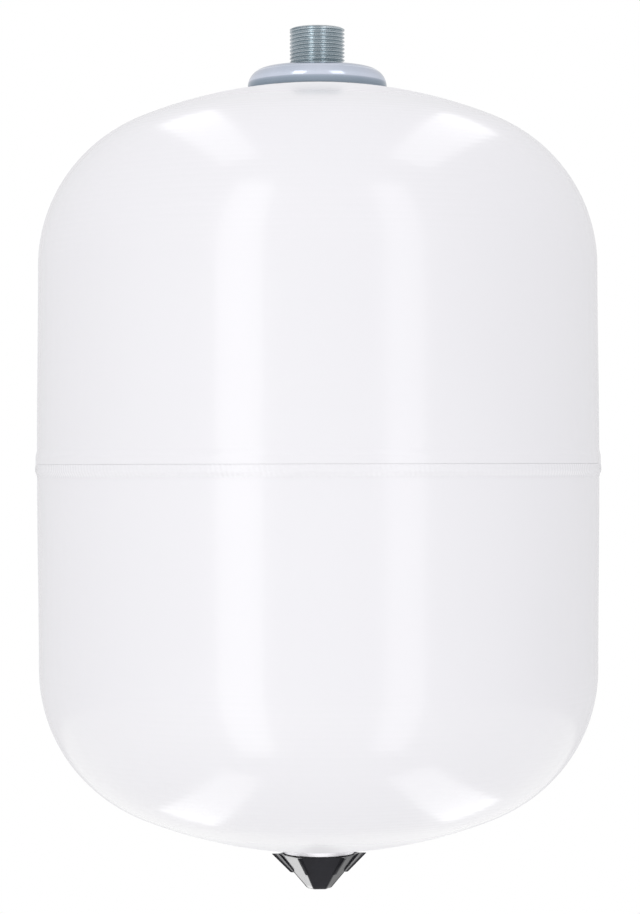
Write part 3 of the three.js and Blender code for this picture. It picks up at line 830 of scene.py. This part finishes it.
def cover_cap():
    """A hexagonal funnel with a rib on each corner and a round sleeve inside that grips the boss."""
    rim = highest("cover_cap")
    end = lowest("cover_cap")
    sleeve_top = rim - 1.1
    rim_radius, end_radius = 20, 5.6  # to a corner of the hexagon
    wall = 1.2
    slope = (rim_radius - end_radius) / (rim - end)
    flat = math.cos(math.pi / 6)
    inset = wall / math.cos(math.atan(slope * flat)) / flat
    floor = end + wall
    sleeve_inside, sleeve_outside = BOSS_TIP_RADIUS + 0.3, BOSS_TIP_RADIUS + 1.8
    rib_top_radius, rib_foot_radius, rib_foot = 22.9, 13.8, SEAM_Z - 195.1
    half_rib, rounding = 0.5, 0.14
    reference = 10  # corner radius of the hexagon that gives each column its direction

    def corner_radius(z):
        return end_radius + slope * (z - end)

    def rib_radius(z):
        return rib_foot_radius + (rib_top_radius - rib_foot_radius) * (z - rib_foot) / (rim - rib_foot)

    # Each column is (place along a side of the hexagon, offset beside a rib, share of the rib's height).
    flank = [(half_rib, 0), (half_rib, 0.12), (half_rib - rounding * 0.3, 0.85), (half_rib - rounding, 1)]
    facet = [0.035, 0.07, 0.2, 0.35, 0.5, 0.65, 0.8, 0.93, 0.965]
    columns = [(0, offset, share) for offset, share in flank[::-1]]
    columns += [(p, None, 0) for p in facet]
    columns += [(1, -offset, share) for offset, share in flank]

    def place(sector, column, base, crest=0):
        """A column's place where base is the hexagon's corner radius and crest the rib's."""
        share_along, offset, rib_share = column
        first = COVER_TURN + math.pi / 2 + sector * math.pi / 3
        start = Vector((math.cos(first), math.sin(first)))
        stop = Vector((math.cos(first + math.pi / 3), math.sin(first + math.pi / 3)))
        if offset is None:
            return start * base * (1 - share_along) + stop * base * share_along
        direction = stop if share_along == 1 else start
        across = Vector((-direction.y, direction.x))
        foot = base - abs(offset) * math.tan(math.pi / 6)
        return direction * (foot + max(0, crest - foot) * rib_share) + across * offset

    def inner_height(towards, radius):
        """Height where the sloping inner wall stands at that radius, in a column's direction."""
        return end + (radius * reference / towards.length - end_radius + inset) / slope

    # Each level is (height, share of the rib's depth).
    outer_levels = [(end + 0.55, 0), (end + 2, 0), (end + 5, 0), (rib_foot - 0.05, 0)]
    outer_levels += [(rib_foot + 0.02, 0.8), (rib_foot + 0.2, 1), (rib_foot + 1, 1)]
    outer_levels += [(rib_foot + (rim - rib_foot) * t, 1) for t in (0.3, 0.5, 0.7, 0.9)]
    outer_levels += [(rim - 0.18, 1)]

    def section(sector, column):
        """The wall's outline in one column, from the closed end up the outside and down the inside."""
        points = []

        def put(xy, z):
            points.append((xy.x, xy.y, z))

        for back, z in ((1.2, end), (0.45, end + 0.05), (0.1, end + 0.2)):
            put(place(sector, column, end_radius - back, end_radius - back), z)
        for z, rib in outer_levels:
            base = corner_radius(z)
            put(place(sector, column, base, base + (rib_radius(z) - base) * rib), z)
        top = corner_radius(rim)
        for back in (0.12, 0.5):
            put(place(sector, column, top - back, rib_radius(rim) - back), rim)
        for back, z in ((-0.12, rim), (0, rim - 0.12)):
            put(place(sector, column, top - inset - back, top - inset - back), z)
        towards = place(sector, column, reference, reference)
        foot = inner_height(towards, sleeve_outside)
        for z in (rim - (rim - foot) * 0.5, foot + 0.3):
            put(place(sector, column, corner_radius(z) - inset), z)
        for radius, z in (
            (sleeve_outside, foot + 0.4),
            (sleeve_outside, (foot + sleeve_top) / 2),
            (sleeve_outside, sleeve_top - 0.2),
            (sleeve_outside - 0.2, sleeve_top),
            (sleeve_inside + 0.3, sleeve_top),
            (sleeve_inside, sleeve_top - 0.3),
            (sleeve_inside, (foot + sleeve_top) / 2),
            (sleeve_inside, inner_height(towards, sleeve_inside) + 0.1),
        ):
            put(towards.normalized() * radius, z)
        for z in (floor + 3, floor + 0.3):
            put(place(sector, column, corner_radius(z) - inset), z)
        put(place(sector, column, corner_radius(floor) - inset - 0.3), floor)
        return points

    outlines = [section(sector, column) for sector in range(RIB_COUNT) for column in columns]
    count, rows = len(outlines), len(outlines[0])
    vertices = [point for outline in outlines for point in outline]
    faces = []
    for c in range(count):
        n = (c + 1) % count
        for k in range(rows - 1):
            faces.append((c * rows + k, c * rows + k + 1, n * rows + k + 1, n * rows + k))
    bottom, top = len(vertices), len(vertices) + 1
    vertices += [(0, 0, end), (0, 0, floor)]
    for c in range(count):
        n = (c + 1) % count
        faces.append((bottom, c * rows, n * rows))
        faces.append((top, c * rows + rows - 1, n * rows + rows - 1))
    name, body, slot = "cover_cap_finished", "cover_cap", "cover_plastic"
    new_piece(name, vertices, faces, COVER_PLASTIC, body, slot, "cover_cap", sharp=28)


plain_ring("dust_cap_seal", 0, STEM_THREAD, SEAL, "dust_cap_seal", "seal_rubber", SMALL)
dust_cap()
cover_cap()


# ---- camera, lights and floor -------------------------------------------------------------------

CAMERA_DISTANCE = 1.4
CAMERA_LENS = 114.3
CAMERA_ROLL = math.radians(0.14)
CAMERA_SHIFT = (0.002, 0.0115)
WHITE = (1, 1, 1, 1)
AMBIENT = 0.83
AMBIENT_COLOUR = (0.985, 0.98, 1, 1)
AMBIENT_SLOPE = (-0.032, -0.069, 0)  # brighter to the left and the front
AMBIENT_POLES = 0.13  # brighter overhead and below
FLOOR_LIGHT = 0.975
STRIP_DISTANCE = 0.5
CARD_DISTANCE = 0.6
LONG_LIGHT_HEIGHT = 0.7


def camera():
    data = bpy.data.cameras.new("camera")
    data.sensor_width = 36
    data.lens = CAMERA_LENS
    data.shift_x, data.shift_y = CAMERA_SHIFT
    data.clip_start, data.clip_end = 0.05, 50
    eye = bpy.data.objects.new("camera", data)
    eye.location = (0, -CAMERA_DISTANCE, SEAM_Z * MM)
    eye.rotation_euler = (math.pi / 2, CAMERA_ROLL, 0)
    bpy.context.scene.collection.objects.link(eye)
    bpy.context.scene.camera = eye


def light_panel(name, centre, facing, width, height, brightness, colour=(1, 1, 1)):
    """A rectangular light. The centre is in metres from the vessel's middle."""
    data = bpy.data.lights.new(name, "AREA")
    data.shape = "RECTANGLE"
    data.size, data.size_y = width, height
    data.color = colour
    data.energy = brightness * math.pi * width * height  # brightness is the panel's own, 1 for white
    light = bpy.data.objects.new(name, data)
    light.location = Vector((0, 0, SEAM_Z * MM)) + Vector(centre)
    light.rotation_euler = Vector(facing).to_track_quat("-Z", "Y").to_euler()
    light.visible_camera = False
    bpy.context.scene.collection.objects.link(light)
    return light


def link_light(light, node, state):
    """With INCLUDE the light falls only on that CAD node's piece, and with EXCLUDE on every other piece."""
    linked = bpy.data.collections.new(light.name)
    linked.objects.link(bpy.data.objects[node + "_finished"])
    linked.collection_objects[0].light_linking.link_state = state
    light.light_linking.receiver_collection = linked


def strip_light(name, azimuth, width, height, brightness, colour):
    """An upright strip in front of the vessel. Azimuth 0 is on the camera's side and grows to the right."""
    angle = math.radians(azimuth)
    towards = Vector((math.sin(angle), -math.cos(angle), 0))
    light = light_panel(name, towards * STRIP_DISTANCE, -towards, width, height, brightness, colour)
    link_light(light, "flange_cap", "EXCLUDE")


def long_light(name, x, y, width, length, brightness):
    """A pair of flat strips that run front to back, one over the vessel and one under it."""
    for side, word in ((1, "over"), (-1, "under")):
        centre = (x, y, side * LONG_LIGHT_HEIGHT)
        light = light_panel(name + "_" + word, centre, (0, 0, -side), width, length, brightness)
        link_light(light, "flange_cap", "EXCLUDE")


def card_for(node, word, direction, width, height, brightness):
    """A small panel that lights one CAD node's piece only, seen from it in that direction."""
    low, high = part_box(node)
    towards = Vector(direction).normalized()
    centre = (low + high) / 2 - Vector((0, 0, SEAM_Z * MM)) + towards * CARD_DISTANCE
    card = light_panel(node + "_" + word, centre, -towards, width, height, brightness)
    link_light(card, node, "INCLUDE")


def studio():
    """White surroundings for the eye, which light the vessel a little less from the back and right."""
    world = bpy.data.worlds.new("studio")
    bpy.context.scene.world = world
    world.use_nodes = True
    tree = world.node_tree
    tree.nodes.clear()
    out = tree.nodes.new("ShaderNodeOutputWorld")
    mix = tree.nodes.new("ShaderNodeMixShader")
    seen = tree.nodes.new("ShaderNodeBackground")
    seen.inputs["Color"].default_value = WHITE
    seen.inputs["Strength"].default_value = 1
    ambient = tree.nodes.new("ShaderNodeBackground")
    ambient.inputs["Color"].default_value = AMBIENT_COLOUR
    direction = tree.nodes.new("ShaderNodeTexCoord").outputs["Generated"]
    upright = vector_maths(tree, "ABSOLUTE", direction)
    sideways = vector_maths(tree, "DOT_PRODUCT", direction, AMBIENT_SLOPE, "Value")
    poles = vector_maths(tree, "DOT_PRODUCT", upright, (0, 0, AMBIENT_POLES), "Value")
    level = maths(tree, "ADD", maths(tree, "ADD", sideways, poles), AMBIENT)
    tree.links.new(level, ambient.inputs["Strength"])
    path = tree.nodes.new("ShaderNodeLightPath")
    tree.links.new(path.outputs["Is Camera Ray"], mix.inputs["Fac"])
    tree.links.new(ambient.outputs[0], mix.inputs[1])
    tree.links.new(seen.outputs[0], mix.inputs[2])
    tree.links.new(mix.outputs[0], out.inputs["Surface"])


def white_ring():
    """A glowing ring inside the flange that only reflections show, so that the dome mirrors no dark gap."""
    radius, sides, glow = 30 * MM, 64, 0.95
    turns = [TAU * k / sides for k in range(sides)]
    heights = (FLANGE_FOOT * MM, (FLANGE_TOP - FLANGE_SHEET) * MM)
    vertices = [(radius * math.cos(turn), radius * math.sin(turn), z) for z in heights for turn in turns]
    faces = [(k, (k + 1) % sides, sides + (k + 1) % sides, sides + k) for k in range(sides)]
    mesh = bpy.data.meshes.new("white_ring")
    mesh.from_pydata(vertices, [], faces)
    material, _, shader, _ = node_material("white_glow")
    shader.inputs["Base Color"].default_value = (0, 0, 0, 1)
    shader.inputs["Emission Color"].default_value = WHITE
    shader.inputs["Emission Strength"].default_value = glow
    mesh.materials.append(material)
    ring = bpy.data.objects.new("white_ring", mesh)
    ring.visible_camera = ring.visible_diffuse = ring.visible_shadow = False
    bpy.context.scene.collection.objects.link(ring)


def floor():
    """A pale round floor well below the vessel that fades into the white surroundings."""
    radius, depth = 6, 2
    fading = (0.4, 3.2)  # distances from the middle between which it turns into plain white
    editable = bmesh.new()
    bmesh.ops.create_circle(editable, cap_ends=True, segments=96, radius=radius)
    mesh = bpy.data.meshes.new("floor")
    editable.to_mesh(mesh)
    editable.free()
    material, tree, shader, place = node_material("pale_floor")
    shader.inputs["Base Color"].default_value = (0.9, 0.9, 0.9, 1)
    shader.inputs["Roughness"].default_value = 0.7
    distance = vector_maths(tree, "LENGTH", place, output="Value")
    fade = map_range(tree, distance, *fading, interpolation="SMOOTHSTEP")
    glow = tree.nodes.new("ShaderNodeEmission")
    seen = tree.nodes.new("ShaderNodeLightPath").outputs["Is Camera Ray"]
    brightness = map_range(tree, seen, 0, 1, FLOOR_LIGHT, 1)  # white to the eye, a little dimmer as a light
    tree.links.new(brightness, glow.inputs["Strength"])
    mix = tree.nodes.new("ShaderNodeMixShader")
    tree.links.new(fade, mix.inputs["Fac"])
    tree.links.new(shader.outputs[0], mix.inputs[1])
    tree.links.new(glow.outputs[0], mix.inputs[2])
    tree.links.new(mix.outputs[0], tree.nodes["Material Output"].inputs["Surface"])
    mesh.materials.append(material)
    plane = bpy.data.objects.new("floor", mesh)
    plane.location.z = -depth
    bpy.context.scene.collection.objects.link(plane)


camera()
studio()
floor()
white_ring()
strip_light("left_strip", -27, 0.145, 1.148, 0.9, WHITE[:3])
strip_light("right_strip", 30, 0.125, 1.1, 0.69, (0.98, 0.97, 1))
long_light("left_long_light", -0.283, 0.11, 0.165, 0.79, 0.7)
long_light("right_long_light", 0.348, 0.148, 0.2, 0.84, 0.72)
card_for("connection_nipple", "left_card", (-0.43, -0.9, 0), 0.14, 1.1, 1.4)
card_for("connection_nipple", "right_card", (0.48, -0.88, 0), 0.12, 1.1, 1.1)
card_for("flange_cap", "left_card", (-0.421, -0.581, 0.696), 0.19, 0.18, 0.9)
card_for("flange_cap", "right_card", (0.461, -0.556, 0.691), 0.19, 0.18, 0.75)
card_for("cover_cap", "left_card", (-0.487, 0.662, -0.57), 0.3, 0.3, 4.8)
card_for("cover_cap", "front_card", (0.138, -0.98, -0.136), 0.2, 0.2, 14)
card_for("valve_boss", "front_card", (0, -0.99, -0.1), 0.5, 0.3, 2)

bpy.context.scene.view_settings.view_transform = "Standard"
